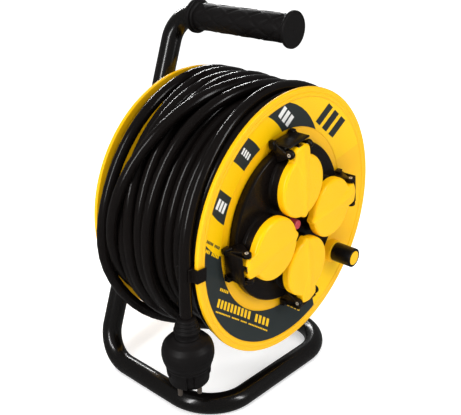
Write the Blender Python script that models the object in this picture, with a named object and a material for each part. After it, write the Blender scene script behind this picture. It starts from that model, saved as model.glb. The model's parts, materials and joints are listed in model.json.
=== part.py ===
"""Extension cord reel: a bent steel tube stand with a rubber grip, a plastic drum that turns on a stub
axle, 30 m of rubber cable wound on it, and a panel of four sockets under sprung lids in its open face.

Metres, +Z up. The drum turns about Y, and its sockets face -Y. Most of the design is measured from HUB, the
point on the drum's axis in the plane of the front rim. The origin is on the floor, under the middle of the reel.
"""

import math

import bmesh
import bpy
from mathutils import Matrix, Vector

# ---- driving dimensions ----------------------------------------------------------------------------------
GAP = 0.0003  # between pieces that touch

# stand
TUBE_R = 0.011  # 22 mm tube
TUBE_SIDES = 12
TUBE_CORNER = TUBE_R / math.cos(math.pi / TUBE_SIDES)
TUBE_WALL = 0.0015
HUB_H = 0.197  # axle height above the floor
RAIL_X = 0.1065  # floor rails, either side of the axis
FRONT_RAIL_Y = 0.0085
LEG_Y = 0.176  # both legs stand in this plane, behind the drum
GRIP_X = 0.0065
GRIP_Z = 0.1915
FLOOR_BEND = 0.050
FOOT_BEND = 0.036
TOP_BEND = 0.029
RIGHT_LEG_TOP = 0.030
BOLT_R = 0.0030
PLATE_Y = (LEG_Y - TUBE_CORNER - 0.0041, LEG_Y - TUBE_CORNER - 0.0001)  # the plate across the legs

# grip
GRIP_FRONT_Y = 0.018
GRIP_REAR_Y = 0.147
GRIP_R = 0.0148
GRIP_FLANGE_R = 0.0198

# drum
RIM_R = 0.140
DRUM_W = 0.146
HUB_R = 0.0853
BARREL_WALL = 0.003
LABEL_OUT_R = 0.1306
LABEL_IN_R = 0.0979
DISH = 0.0100  # depth of the dished face at the label's inner edge
FLANGE_T = 0.0026
AXLE_R = 0.006
AXLE_END_R = 0.0038
BEARING_Y = (0.076, 0.1505)  # the bearing tube inside the drum
AXLE_FRONT_Y = BEARING_Y[0] - 0.0085
BUSH_R = 0.0100
BUSH_BORE_R = 0.00625
GLAND_R = 0.0080
GLAND_OUT = 0.0846  # its outer face, from the axis
GLAND_Y = 0.1200
GLAND_ANGLE = 62.0  # degrees above +X
GLAND_AXIS = (math.cos(math.radians(GLAND_ANGLE)), 0, math.sin(math.radians(GLAND_ANGLE)))
SCREW_AT_R = 0.0700

# socket panel
PANEL_Y = 0.0025
SOCKETS = 4
LID_ANGLE = 10.5  # degrees, of the first lid above +X
LID_R = 0.0325
LID_CENTRE = 0.0475  # from the axis
LID_Y = (-0.0175, -0.0092)
COLLAR_R = 0.0300
COLLAR_Y = -0.0088
RECESS_R = 0.0197
RECESS_Y = 0.0087
SOCKET_R = 0.0225
SOCKET_BACK_Y = 0.0180
CONTACT_X = 0.0095  # half the distance between a plug's two pins
CONTACT_R = 0.0027
PIN_AT = 0.0871
PIN_Y = -0.0134
PIN_R = 0.0015
PIN_HALF = 0.0170
LUG_IN = 0.0123  # lugs run from here to LUG_OUT either side of the lid's middle
LUG_OUT = 0.0166
BUTTON_R = 0.0052
BUTTON_Y = -0.0070

# crank knob
KNOB_X = 0.0904
KNOB_Z = -0.0629
KNOB_R = 0.011
KNOB_Y = (-0.0241, 0.0012)
CAP_R = 0.0082
CAP_T = 0.0038

# cable
CORD_R = 0.006
TAIL_X = -0.1433
TAIL_Y = 0.0125
TAIL_BOTTOM = -0.0557
PLUG_LEAN = 4.1  # degrees
PLUG_TWIST = -40.0
TAIL_SHIFT = math.tan(math.radians(PLUG_LEAN)) * abs(TAIL_BOTTOM) / 2  # how far it has curved in at its end

ROUND = 48  # sides of the large round pieces
SMALL = 24

# The stand reaches back to its nuts and forward to the knob, and the origin is midway between.
REAR_Y = LEG_Y + TUBE_CORNER + 0.0050
FRONT_Y = KNOB_Y[0]
HUB = Vector((0.0, -(REAR_Y + FRONT_Y) / 2, HUB_H))

# ---- materials -------------------------------------------------------------------------------------------
BLACK_GLOSS = ("black_gloss", (0.012, 0.012, 0.013), 0.22, 0.0)
STEEL = ("steel", (0.62, 0.61, 0.58), 0.3, 1.0)
ZINC = ("zinc", (0.55, 0.55, 0.52), 0.42, 1.0)
BRASS = ("brass", (0.75, 0.55, 0.25), 0.35, 1.0)
YELLOW = ("yellow", (0.95, 0.60, 0.03), 0.38, 0.0)
BLACK_PLASTIC = ("black_plastic", (0.018, 0.015, 0.013), 0.4, 0.0)
GREY_PLASTIC = ("grey_plastic", (0.05, 0.05, 0.05), 0.5, 0.0)
RUBBER = ("rubber", (0.016, 0.016, 0.017), 0.6, 0.0)
CABLE = ("cable", (0.013, 0.012, 0.012), 0.45, 0.0)
RED = ("red", (0.62, 0.10, 0.13), 0.35, 0.0)


def material(spec):
    name, colour, roughness, metallic = spec
    mat = bpy.data.materials.get(name)
    if mat is None:
        mat = bpy.data.materials.new(name)
        mat.use_nodes = True
        shader = mat.node_tree.nodes["Principled BSDF"]
        shader.inputs["Base Color"].default_value = (*colour, 1.0)
        shader.inputs["Roughness"].default_value = roughness
        shader.inputs["Metallic"].default_value = metallic
        mat.diffuse_color = (*colour, 1.0)
    return mat


# ---- shape tools -----------------------------------------------------------------------------------------
def to_mesh(bm, name):
    bmesh.ops.remove_doubles(bm, verts=bm.verts, dist=1e-6)
    bmesh.ops.recalc_face_normals(bm, faces=bm.faces)
    mesh = bpy.data.meshes.new(name)
    bm.to_mesh(mesh)
    bm.free()
    mesh.shade_smooth()
    mesh.set_sharp_from_angle(angle=math.radians(35))
    return mesh


def add(name, mesh, spec, at=HUB, turn=None):
    """Puts a mesh in the scene as a named piece; turn is a rotation matrix."""
    obj = bpy.data.objects.new(name, mesh)
    if not mesh.materials:
        mesh.materials.append(material(spec))
    bpy.context.scene.collection.objects.link(obj)
    obj.location = at
    if turn is not None:
        obj.rotation_euler = turn.to_euler()
    return obj


def turned(name, profile, sides=ROUND, axis=(0, 1, 0), centre=(0, 0, 0)):
    """A closed profile of (radius, height) points, turned about an axis through centre."""
    axis = Vector(axis).normalized()
    out = (Vector((1, 0, 0)) - axis * axis.x).normalized()
    bm = bmesh.new()
    verts = [bm.verts.new(Vector(centre) + out * r + axis * h) for r, h in profile]
    pairs = zip(verts, verts[1:] + verts[:1])
    edges = [bm.edges.new(pair) for pair in pairs if not on_axis(pair, centre, axis)]
    bmesh.ops.spin(
        bm, geom=verts + edges, cent=centre, axis=axis, angle=math.tau, steps=sides, use_merge=True
    )
    return to_mesh(bm, name)


def on_axis(pair, centre, axis):
    """Whether an edge lies along the turning axis, where it would turn into nothing."""
    return all(((v.co - Vector(centre)).cross(axis)).length < 1e-7 for v in pair)


def rod(name, radius, low, high, sides=SMALL, axis=(0, 1, 0), centre=(0, 0, 0), bevel=0.0):
    """A solid cylinder from low to high along the axis, with a bevelled rim at each end."""
    profile = [
        (0, low),
        (radius - bevel, low),
        (radius, low + bevel),
        (radius, high - bevel),
        (radius - bevel, high),
        (0, high),
    ]
    if not bevel:
        profile = [(0, low), (radius, low), (radius, high), (0, high)]
    return turned(name, profile, sides, axis, centre)


def sleeve(name, inner, outer, low, high, sides=SMALL, axis=(0, 1, 0), centre=(0, 0, 0)):
    return turned(name, [(inner, low), (outer, low), (outer, high), (inner, high)], sides, axis, centre)


def nut(name, shaft_r, corner_r, low, high):
    """A hexagon nut; its hexagonal bore clears the shaft at the middles of the flats."""
    return sleeve(name, (shaft_r + GAP) / math.cos(math.pi / 6), corner_r, low, high, 6)


def block(name, low, high, bevel=0.0):
    """A box between two corners, with bevelled edges."""
    bm = bmesh.new()
    bmesh.ops.create_cube(bm, size=1.0)
    low, high = Vector(low), Vector(high)
    for v in bm.verts:
        v.co = Vector(((low[i] + high[i]) / 2 + v.co[i] * (high[i] - low[i]) for i in range(3)))
    if bevel:
        bmesh.ops.bevel(bm, geom=bm.edges[:], offset=bevel, segments=1, affect="EDGES")
    return to_mesh(bm, name)


def prism(name, outline, low, high, plane="XY"):
    """A flat outline, extruded between two heights: an outline in XY along Z, and one in XZ along Y."""
    bm = bmesh.new()

    def place(a, b, h):
        return (a, b, h) if plane == "XY" else (a, h, b)

    rings = [[bm.verts.new(place(a, b, h)) for a, b in outline] for h in (low, high)]
    bm.faces.new(rings[0])
    bm.faces.new(rings[1])
    count = len(outline)
    for i in range(count):
        j = (i + 1) % count
        bm.faces.new((rings[0][i], rings[0][j], rings[1][j], rings[1][i]))
    return to_mesh(bm, name)


def combined(name, base, steps, spec):
    """Cuts or joins meshes in turn with EXACT Booleans, and returns the finished mesh."""
    body = add(name, base, spec, at=(0, 0, 0))
    tools = []
    for operation, mesh in steps:
        tool = add(f"{name}.tool", mesh, spec, at=(0, 0, 0))
        tool.hide_render = True
        tool.display_type = "WIRE"
        tools.append(tool)
        step = body.modifiers.new(operation, "BOOLEAN")
        step.operation = operation
        step.solver = "EXACT"
        step.object = tool
    bpy.context.view_layer.update()
    result = bpy.data.meshes.new_from_object(body.evaluated_get(bpy.context.evaluated_depsgraph_get()))
    for obj in [body, *tools]:
        bpy.data.objects.remove(obj)
    result.name = name
    result.materials.clear()
    result.materials.append(material(spec))
    result.shade_smooth()
    result.set_sharp_from_angle(angle=math.radians(35))
    return result


def rounded_path(corners, radii, step_deg=11.25):
    """A polyline through corners, each inner corner rounded with its own centre-line radius."""
    points = [Vector(corners[0])]
    for before, at, after, radius in zip(corners, corners[1:], corners[2:], radii):
        before, at, after = Vector(before), Vector(at), Vector(after)
        u, w = (before - at).normalized(), (after - at).normalized()
        half = u.angle(w) / 2
        centre = at + (u + w).normalized() * radius / math.sin(half)
        start = at + u * radius / math.tan(half) - centre
        end = at + w * radius / math.tan(half) - centre
        axis, sweep = start.cross(end).normalized(), start.angle(end)
        steps = max(2, round(math.degrees(sweep) / step_deg))
        points += [centre + Matrix.Rotation(sweep * i / steps, 3, axis) @ start for i in range(steps + 1)]
    points.append(Vector(corners[-1]))
    return points


def swept_tube(name, points, outer, inner, sides, up):
    """A hollow tube along a polyline. Its sections start with one flat side square to up, and don't twist."""
    bm = bmesh.new()
    tangents = []
    for i, point in enumerate(points):
        ahead = points[min(i + 1, len(points) - 1)] - point
        behind = point - points[max(i - 1, 0)]
        tangents.append((ahead.normalized() + behind.normalized()).normalized())
    normal = (Vector(up) - tangents[0] * tangents[0].dot(Vector(up))).normalized()
    shells = {outer: [], inner: []}
    previous = tangents[0]
    for point, tangent in zip(points, tangents):
        normal = previous.rotation_difference(tangent) @ normal
        side = tangent.cross(normal)
        previous = tangent
        for radius, rings in shells.items():
            reach = radius / math.cos(math.pi / sides)
            ring = []
            for k in range(sides):
                a = math.tau * (k + 0.5) / sides
                ring.append(bm.verts.new(point + (normal * math.cos(a) + side * math.sin(a)) * reach))
            rings.append(ring)
    for rings in shells.values():
        for a, b in zip(rings, rings[1:]):
            for k in range(sides):
                n = (k + 1) % sides
                bm.faces.new((a[k], a[n], b[n], b[k]))
    for end in (0, -1):
        a, b = shells[outer][end], shells[inner][end]
        for k in range(sides):
            n = (k + 1) % sides
            bm.faces.new((a[k], a[n], b[n], b[k]))
    return to_mesh(bm, name)


def wire_along(name, points, radius, resolution, spec):
    """A round wire or cable along a polyline, as a curve object."""
    curve = bpy.data.curves.new(name, "CURVE")
    curve.dimensions = "3D"
    spline = curve.splines.new("POLY")
    spline.points.add(len(points) - 1)
    for place, point in zip(spline.points, points):
        place.co = (*point, 1.0)
    curve.bevel_depth = radius
    curve.bevel_resolution = resolution
    curve.use_fill_caps = True
    curve.materials.append(material(spec))
    obj = bpy.data.objects.new(name, curve)
    bpy.context.scene.collection.objects.link(obj)
    return obj


def about_axis(angle_deg):
    """Turns +X towards +Z by this angle, about the drum's axis."""
    return Matrix.Rotation(math.radians(-angle_deg), 3, "Y")


def lid_angles():
    return [LID_ANGLE + 360 / SOCKETS * i for i in range(SOCKETS)]


# ---- stand -----------------------------------------------------------------------------------------------
def leg_x(z):
    """Where the left leg's centre line is at a height from the hub; the right leg is its mirror image."""
    foot_z = TUBE_R - HUB_H
    share = (z - foot_z) / (GRIP_Z - foot_z)
    return -RAIL_X + (GRIP_X + RAIL_X) * share


def bolt_holes(bolt_at, middle_y):
    """Cutters for the bracket's bolt holes, through whatever is near this depth."""
    low, high = middle_y - 0.03, middle_y + 0.03
    return [("DIFFERENCE", rod("hole", BOLT_R + GAP, low, high, 12, centre=(x, 0, z))) for x, z in bolt_at]


def build_stand():
    foot_z = TUBE_R - HUB_H
    corners = [
        (GRIP_X, GRIP_FRONT_Y + 0.004, GRIP_Z),
        (GRIP_X, LEG_Y, GRIP_Z),
        (-RAIL_X, LEG_Y, foot_z),
        (-RAIL_X, FRONT_RAIL_Y, foot_z),
        (RAIL_X, FRONT_RAIL_Y, foot_z),
        (RAIL_X, LEG_Y, foot_z),
        (-leg_x(RIGHT_LEG_TOP), LEG_Y, RIGHT_LEG_TOP),
    ]
    radii = [TOP_BEND, FOOT_BEND, FLOOR_BEND, FLOOR_BEND, FOOT_BEND]
    path = rounded_path(corners, radii)
    # Turned by twice the leg's lean at the grip, the section has a flat side underneath on the floor.
    lean = 2 * math.atan2(GRIP_X + RAIL_X, GRIP_Z - foot_z)
    up = (math.sin(lean), 0, math.cos(lean))
    tube = swept_tube("frame_tube", path, TUBE_R, TUBE_R - TUBE_WALL, TUBE_SIDES, up)
    bolt_at = [(side * abs(leg_x(0.0)), 0.0) for side in (-1, 1)]
    holes = bolt_holes(bolt_at, LEG_Y)
    add("frame_tube", combined("frame_tube", tube, holes, BLACK_GLOSS), BLACK_GLOSS)

    end = Vector((-leg_x(RIGHT_LEG_TOP), LEG_Y, RIGHT_LEG_TOP))
    along = (end - Vector((RAIL_X, LEG_Y, foot_z))).normalized()
    inside = TUBE_R - TUBE_WALL - GAP
    plug = [(0, -0.012), (inside, -0.012), (inside, GAP), (TUBE_R, GAP), (TUBE_R - 0.001, 0.003), (0, 0.0045)]
    add("tube_end_plug", turned("tube_end_plug", plug, SMALL, along, end), RUBBER)

    bore = TUBE_CORNER + GAP
    grip = [
        (0, GRIP_FRONT_Y),
        (GRIP_FLANGE_R - 0.0012, GRIP_FRONT_Y),
        (GRIP_FLANGE_R, GRIP_FRONT_Y + 0.0012),
        (GRIP_FLANGE_R, GRIP_FRONT_Y + 0.0036),
        (GRIP_R, GRIP_FRONT_Y + 0.0060),
        (GRIP_R, GRIP_REAR_Y - 0.0095),
        (GRIP_FLANGE_R, GRIP_REAR_Y - 0.0070),
        (GRIP_FLANGE_R, GRIP_REAR_Y - 0.0010),
        (GRIP_FLANGE_R - 0.0010, GRIP_REAR_Y),
        (bore, GRIP_REAR_Y),
        (bore, GRIP_FRONT_Y + 0.0036),
        (0, GRIP_FRONT_Y + 0.0036),
    ]
    add("hand_grip", turned("hand_grip", grip, SMALL, centre=(GRIP_X, 0, GRIP_Z)), RUBBER)
    build_axle(bolt_at)


def build_axle(bolt_at):
    """The plate across the two legs, its two bolts, and the stub axle that carries the drum."""
    front, back = PLATE_Y
    reach = abs(leg_x(0.0)) + 0.016
    plate = prism(
        "axle_bracket",
        [(-reach, -0.014), (-0.020, -0.030), (0.020, -0.030), (reach, -0.014),
         (reach, 0.014), (0.020, 0.030), (-0.020, 0.030), (-reach, 0.014)],
        front, back, "XZ",
    )
    cuts = [("DIFFERENCE", rod("hole", AXLE_R + GAP, front - 0.01, back + 0.01, SMALL))]
    cuts += bolt_holes(bolt_at, front)
    add("axle_bracket", combined("axle_bracket", plate, cuts, BLACK_GLOSS), BLACK_GLOSS)

    rear = LEG_Y + TUBE_CORNER
    for side, (x, z) in zip(("left", "right"), bolt_at):
        at = HUB + Vector((x, 0, z))
        shank = [
            (0, front - GAP - 0.004),
            (0.0056, front - GAP - 0.004),
            (0.0056, front - GAP),
            (BOLT_R, front - GAP),
            (BOLT_R, rear + 0.0050),
            (0, rear + 0.0050),
        ]
        add(f"bracket_bolt_{side}", turned("bracket_bolt", shank, 6), ZINC, at)
        bolt_nut = nut("bracket_nut", BOLT_R, 0.0058, rear + GAP, rear + GAP + 0.0048)
        add(f"bracket_nut_{side}", bolt_nut, ZINC, at)

    shoulder = BEARING_Y[1] + 0.0016 + GAP
    axle = [
        (0, AXLE_FRONT_Y),
        (AXLE_END_R, AXLE_FRONT_Y),
        (AXLE_END_R, AXLE_FRONT_Y + 0.0062),
        (AXLE_R, AXLE_FRONT_Y + 0.0062),
        (AXLE_R, shoulder),
        (0.0100, shoulder),
        (0.0100, front - GAP),
        (AXLE_R, front - GAP),
        (AXLE_R, back + 0.0070),
        (0, back + 0.0070),
    ]
    add("axle", turned("axle", axle, 32), STEEL)
    add("axle_nut", nut("axle_nut", AXLE_R, 0.0110, back + GAP, back + GAP + 0.0060), ZINC)
    washer = sleeve("axle_washer", AXLE_END_R + 0.0004, 0.0120, AXLE_FRONT_Y + 0.0045, AXLE_FRONT_Y + 0.0059)
    add("axle_washer", washer, ZINC)
    locknut = nut("axle_locknut", AXLE_END_R, 0.0074, AXLE_FRONT_Y + 0.0002, AXLE_FRONT_Y + 0.0042)
    add("axle_locknut", locknut, ZINC)


# ---- drum ------------------------------------------------------------------------------------------------
def flange_face(sign, base):
    """Front surface of a flange from its inner edge to its rim, as (radius, y). The rear one has sign -1."""
    points = [
        (0.0800, DISH + 0.0022),
        (LABEL_IN_R, DISH + 0.0004),
        (LABEL_IN_R + 0.0004, DISH),
        (LABEL_OUT_R - 0.0004, 0.0010),
        (LABEL_OUT_R + 0.0006, 0.0),
        (RIM_R - 0.0010, 0.0),
        (RIM_R, 0.0010),
        (RIM_R, 0.0040),
        (RIM_R - 0.0006, 0.0046),
        (0.1330, 0.0046),
        (0.1318, 0.0040),
        (0.0990, DISH + 0.0028),
        (0.0850 + GAP, DISH + 0.0022 + FLANGE_T - 0.0003),
    ]
    return [(r, base + sign * y) for r, y in points]


def build_drum():
    """The two flanges, the barrel with its bearing, and what is fixed inside."""
    face = flange_face(1, 0.0) + [(0.0800, DISH + 0.0022 + FLANGE_T)]
    flange = turned("front_flange", face)
    boss = rod("boss", 0.0128, 0.0015, 0.0135, SMALL, centre=(KNOB_X, 0, KNOB_Z))
    # The boss is trimmed to the back of the flange, so that it leaves the winding's space clear.
    behind = [(0.0870, 0.0147), (0.0990, 0.0130), (0.1315, 0.0043), (0.1315, 0.0300), (0.0870, 0.0300)]
    hole = rod("hole", 0.0043, -0.01, 0.0046, 16, centre=(KNOB_X, 0, KNOB_Z))
    steps = [("UNION", boss), ("DIFFERENCE", turned("behind", behind)), ("DIFFERENCE", hole)]
    add("front_flange", combined("front_flange", flange, steps, YELLOW), YELLOW)

    barrel_front = DISH + 0.0022 + FLANGE_T + GAP
    web_back = DRUM_W - DISH - 0.0022
    web_front = web_back - 0.0030
    rear = list(reversed(flange_face(-1, DRUM_W)[1:-1]))
    barrel_r = HUB_R - GAP
    core = [(barrel_r, barrel_front), (barrel_r, rear[0][1] - 0.0014), *rear]
    core += [
        (0.0800, web_back),
        (0.0170, web_back),
        (0.0150, BEARING_Y[1]),
        (BUSH_R + GAP, BEARING_Y[1]),
        (BUSH_R + GAP, BEARING_Y[0]),
        (0.0145, BEARING_Y[0]),
        (0.0160, web_front),
        (barrel_r - BARREL_WALL, web_front),
        (barrel_r - BARREL_WALL, barrel_front),
    ]
    holes = [
        ("DIFFERENCE", rod("hole", 0.0027, web_front - 0.01, web_back + 0.01, 12, centre=screw_at(i)))
        for i in range(SOCKETS)
    ]
    gland = rod("hole", GLAND_R + GAP, 0.070, 0.095, 16, axis=GLAND_AXIS, centre=(0, GLAND_Y, 0))
    holes.append(("DIFFERENCE", gland))
    add("drum_core", combined("drum_core", turned("drum_core", core), holes, YELLOW), YELLOW)

    for name, low, high, lip in (
        ("bush_front", BEARING_Y[0] + GAP, BEARING_Y[0] + 0.012, BEARING_Y[0] - 0.0016),
        ("bush_rear", BEARING_Y[1] - GAP, BEARING_Y[1] - 0.012, BEARING_Y[1] + 0.0016),
    ):
        lip_in = lip + (GAP + 0.0010 if name == "bush_front" else -GAP - 0.0010)
        bush = [(BUSH_BORE_R, lip), (0.0135, lip), (0.0135, lip_in), (BUSH_R, lip_in), (BUSH_R, high),
                (BUSH_BORE_R, high)]
        add(name, turned(name, bush, 32), GREY_PLASTIC)

    inner = HUB_R
    winding = [
        (inner, 0.0156),
        (0.0990, 0.0132),
        (0.1240, 0.0068),
        (0.1325, 0.0072),
        (0.1362, 0.0085),
        (0.1366, 0.0205),
        (0.1405, 0.0420),
        (0.1470, 0.0800),
        (0.1465, 0.1150),
        (0.1370, 0.1340),
        (0.1320, DRUM_W - 0.0045 - 0.0005),
        (0.0990, DRUM_W - 0.0132),
        (inner, DRUM_W - 0.0146),
    ]
    add("cable_winding", turned("cable_winding", winding), CABLE)
    build_inside(web_back, web_front)


def screw_at(i):
    """Where the screws between the panel and the back of the drum stand, midway between the sockets."""
    a = math.radians(lid_angles()[i] + 45)
    return (SCREW_AT_R * math.cos(a), 0, SCREW_AT_R * math.sin(a))


def build_inside(web_back, web_front):
    for i in range(SOCKETS):
        head = web_back + GAP
        screw = [
            (0, 0.0300),
            (0.0019, 0.0320),
            (0.0019, head),
            (0.0042, head),
            (0.0036, head + 0.0026),
            (0, head + 0.0026),
        ]
        add(f"drum_screw_{i + 1}", turned("drum_screw", screw, 12), ZINC, HUB + Vector(screw_at(i)))
    gland = [(0, 0.0740), (0.0066, 0.0740), (0.0066, 0.0780), (GLAND_R, 0.0786), (GLAND_R, GLAND_OUT),
             (0, GLAND_OUT)]
    add("cable_gland", turned("cable_gland", gland, 16, GLAND_AXIS, (0, GLAND_Y, 0)), RUBBER)
    terminals = block("terminal_block", (-0.018, 0.034, 0.024), (0.018, 0.048, 0.046), 0.0012)
    add("terminal_block", terminals, GREY_PLASTIC)


# ---- socket panel ----------------------------------------------------------------------------------------
def lug_outline():
    """Side of a hinge lug, as (distance from the axis, y): a rounded nose round the pin on a broad root."""
    nose = 0.0048
    arc = [math.radians(a) for a in range(200, -61, -26)]
    points = [(PIN_AT + nose * math.cos(a), PIN_Y - nose * math.sin(a)) for a in arc]
    seat = DISH + 0.0001
    return [(0.0760, 0.0045), *points, (0.0962, 0.0040), (0.0962, seat), (0.0900, seat), (0.0840, 0.0045)]


def at_socket(mesh, angle):
    """A copy of a mesh made for the socket on +X, turned to another socket."""
    copy = mesh.copy()
    copy.transform(about_axis(angle).to_4x4())
    return copy


def build_panel():
    inside = PANEL_Y + 0.0026
    shell = [
        (0, PANEL_Y),
        (HUB_R - 0.0024, PANEL_Y),
        (HUB_R - 0.0007, PANEL_Y + 0.0007),
        (HUB_R, PANEL_Y + 0.0024),
        (HUB_R, DISH + 0.0022 - 0.0005 - GAP),
        (0.0798 - GAP, DISH + 0.0022 - GAP),
        (0.0798 - GAP, 0.0260),
        (0.0770, 0.0260),
        (0.0770, inside),
        (0, inside),
    ]
    opening = rod("hole", SOCKET_R + GAP, -0.02, 0.02, SMALL, centre=(LID_CENTRE, 0, 0))
    pin_hole = rod("hole", PIN_R + GAP, -0.03, 0.03, 12, axis=(0, 0, 1), centre=(PIN_AT, PIN_Y, 0))
    lugs = [
        combined("lug", prism("lug", lug_outline(), low, high), [("DIFFERENCE", pin_hole)], BLACK_PLASTIC)
        for low, high in ((LUG_IN, LUG_OUT), (-LUG_OUT, -LUG_IN))
    ]
    saddle = block("saddle", (0.0790, -0.0058, -LUG_IN - 0.001), (0.0925, 0.0050, LUG_IN + 0.001))
    post_y = PANEL_Y + 0.0012
    post = [(0, post_y), (0.0050, post_y), (0.0050, 0.0420), (0.0023, 0.0420), (0.0023, 0.0280), (0, 0.0280)]
    steps = []
    for i, angle in enumerate(lid_angles()):
        steps.append(("DIFFERENCE", at_socket(opening, angle)))
        steps += [("UNION", at_socket(m, angle)) for m in (*lugs, saddle)]
        steps.append(("UNION", turned("post", post, 16, centre=screw_at(i))))
    steps.append(("DIFFERENCE", rod("hole", BUTTON_R + 0.0005, -0.02, 0.02, SMALL)))
    panel = combined("socket_panel", turned("socket_panel", shell), steps, BLACK_PLASTIC)
    add("socket_panel", panel, BLACK_PLASTIC)

    cutout = block("thermal_cutout", (-0.0125, inside + GAP, -0.0110), (0.0125, 0.0300, 0.0110), 0.0012)
    bore = rod("hole", BUTTON_R + 0.0005, -0.02, 0.0180, SMALL)
    cutout = combined("thermal_cutout", cutout, [("DIFFERENCE", bore)], GREY_PLASTIC)
    add("thermal_cutout", cutout, GREY_PLASTIC)
    build_sockets()


def build_sockets():
    """Cups through the panel, each with two contact holes in its floor and an earth strip in a groove."""
    cup = [
        (0, RECESS_Y),
        (RECESS_R, RECESS_Y),
        (RECESS_R, COLLAR_Y),
        (COLLAR_R - 0.0008, COLLAR_Y),
        (COLLAR_R, COLLAR_Y + 0.0008),
        (COLLAR_R, PANEL_Y - GAP),
        (SOCKET_R, PANEL_Y - GAP),
        (SOCKET_R, SOCKET_BACK_Y),
        (0, SOCKET_BACK_Y),
    ]
    reach = RECESS_R - 0.0002
    groove = block("groove", (-0.0034, RECESS_Y - 0.0040, -reach), (0.0034, RECESS_Y + 0.0016, reach))
    cuts = [("DIFFERENCE", groove)]
    cuts += [
        ("DIFFERENCE", rod("hole", CONTACT_R, 0.0, 0.0150, 12, centre=(x, 0, 0)))
        for x in (-CONTACT_X, CONTACT_X)
    ]
    socket_mesh = combined("socket", turned("socket", cup, 32), cuts, GREY_PLASTIC)
    leg_out, leg_in, strip_y = 0.0191, 0.0183, RECESS_Y + 0.0012
    clip_outline = [
        (-leg_out, -0.0070), (-leg_in, -0.0070), (-leg_in, strip_y - 0.0008), (leg_in, strip_y - 0.0008),
        (leg_in, -0.0070), (leg_out, -0.0070), (leg_out, strip_y), (-leg_out, strip_y),
    ]
    clip = prism("earth_clip", clip_outline, -0.0030, 0.0030)
    pin = rod("hinge_pin", PIN_R, -PIN_HALF, PIN_HALF, 12, axis=(0, 0, 1), bevel=0.0004)
    spring = lid_spring()
    for i, angle in enumerate(lid_angles()):
        turn = about_axis(angle)
        socket = HUB + turn @ Vector((LID_CENTRE, 0, 0))
        hinge = HUB + turn @ Vector((PIN_AT, PIN_Y, 0))
        add(f"socket_{i + 1}", socket_mesh, GREY_PLASTIC, socket, turn)
        add(f"earth_clip_{i + 1}", clip, BRASS, socket, about_axis(angle + 90))
        add(f"hinge_pin_{i + 1}", pin, STEEL, hinge, turn)
        add(f"lid_spring_{i + 1}", spring, STEEL, hinge, turn)


def lid_spring():
    """A torsion spring round the hinge pin, with one leg under the lid and the other towards the panel."""
    coil_r, wire, half, leg = 0.0022, 0.0003, 0.0030, 0.0066
    per_turn, steps = 12, 28
    points = [Vector((-0.0085, -coil_r, -half))]
    for k in range(steps + 1):
        a = math.radians(270) + math.tau * k / per_turn
        points.append(Vector((coil_r * math.cos(a), coil_r * math.sin(a), half * (2 * k / steps - 1))))
    # The leg to the panel leaves the coil inwards, where the open lid's tab doesn't reach.
    points.append(points[-1] + leg * Vector((-math.sin(a), math.cos(a), 0)))
    obj = wire_along("lid_spring", points, wire, 0, STEEL)
    bpy.context.view_layer.update()
    mesh = bpy.data.meshes.new_from_object(obj.evaluated_get(bpy.context.evaluated_depsgraph_get()))
    bpy.data.objects.remove(obj)
    return mesh


# ---- lids ------------------------------------------------------------------------------------------------
def build_lids():
    """Each lid is modelled about its hinge pin, with the drum's axis on its -X side."""
    middle = LID_CENTRE - PIN_AT
    top, bottom = LID_Y[0] - PIN_Y, LID_Y[1] - PIN_Y
    disc = turned(
        "lid",
        [
            (0, top - 0.0014),
            (LID_R - 0.0120, top - 0.0010),
            (LID_R - 0.0022, top),
            (LID_R, top + 0.0022),
            (LID_R, bottom),
            (LID_R - 0.0020, bottom),
            (LID_R - 0.0020, top + 0.0034),
            (0, top + 0.0034),
        ],
        32, centre=(middle, 0, 0),
    )
    tab_half = LUG_IN - 0.0006
    tab = block("tab", (-0.0150, top + 0.0004, -tab_half), (0.0046, bottom - 0.0002, tab_half), 0.0012)
    pocket = block("pocket", (-0.0100, -0.0028, -0.0042), (0.0100, 0.0200, 0.0042))
    inner = rod("inner", LID_R - 0.0020, top + 0.0034, 0.02, 32, centre=(middle, 0, 0))
    bore = rod("hole", PIN_R + GAP, -0.03, 0.03, 12, axis=(0, 0, 1))
    tip = middle - LID_R
    keel = block("keel", (tip + 0.0030, top - 0.0020, -0.0010), (-0.0060, top + 0.0010, 0.0010), 0.0006)
    nub = block("nub", (tip - 0.0030, top + 0.0010, -0.0045), (tip + 0.0030, top + 0.0040, 0.0045), 0.0008)
    steps = [("UNION", tab), ("DIFFERENCE", inner), ("UNION", keel), ("UNION", nub), ("DIFFERENCE", pocket),
             ("DIFFERENCE", bore)]
    lid = combined("lid", disc, steps, YELLOW)
    gasket = sleeve(
        "lid_gasket", 0.0262, LID_R - 0.0026, top + 0.0034 + GAP, bottom, SMALL, centre=(middle, 0, 0)
    )
    for i, angle in enumerate(lid_angles()):
        turn = about_axis(angle)
        hinge = HUB + turn @ Vector((PIN_AT, PIN_Y, 0))
        add(f"lid_{i + 1}", lid, YELLOW, hinge, turn)
        add(f"lid_gasket_{i + 1}", gasket, RUBBER, hinge, turn)


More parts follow.
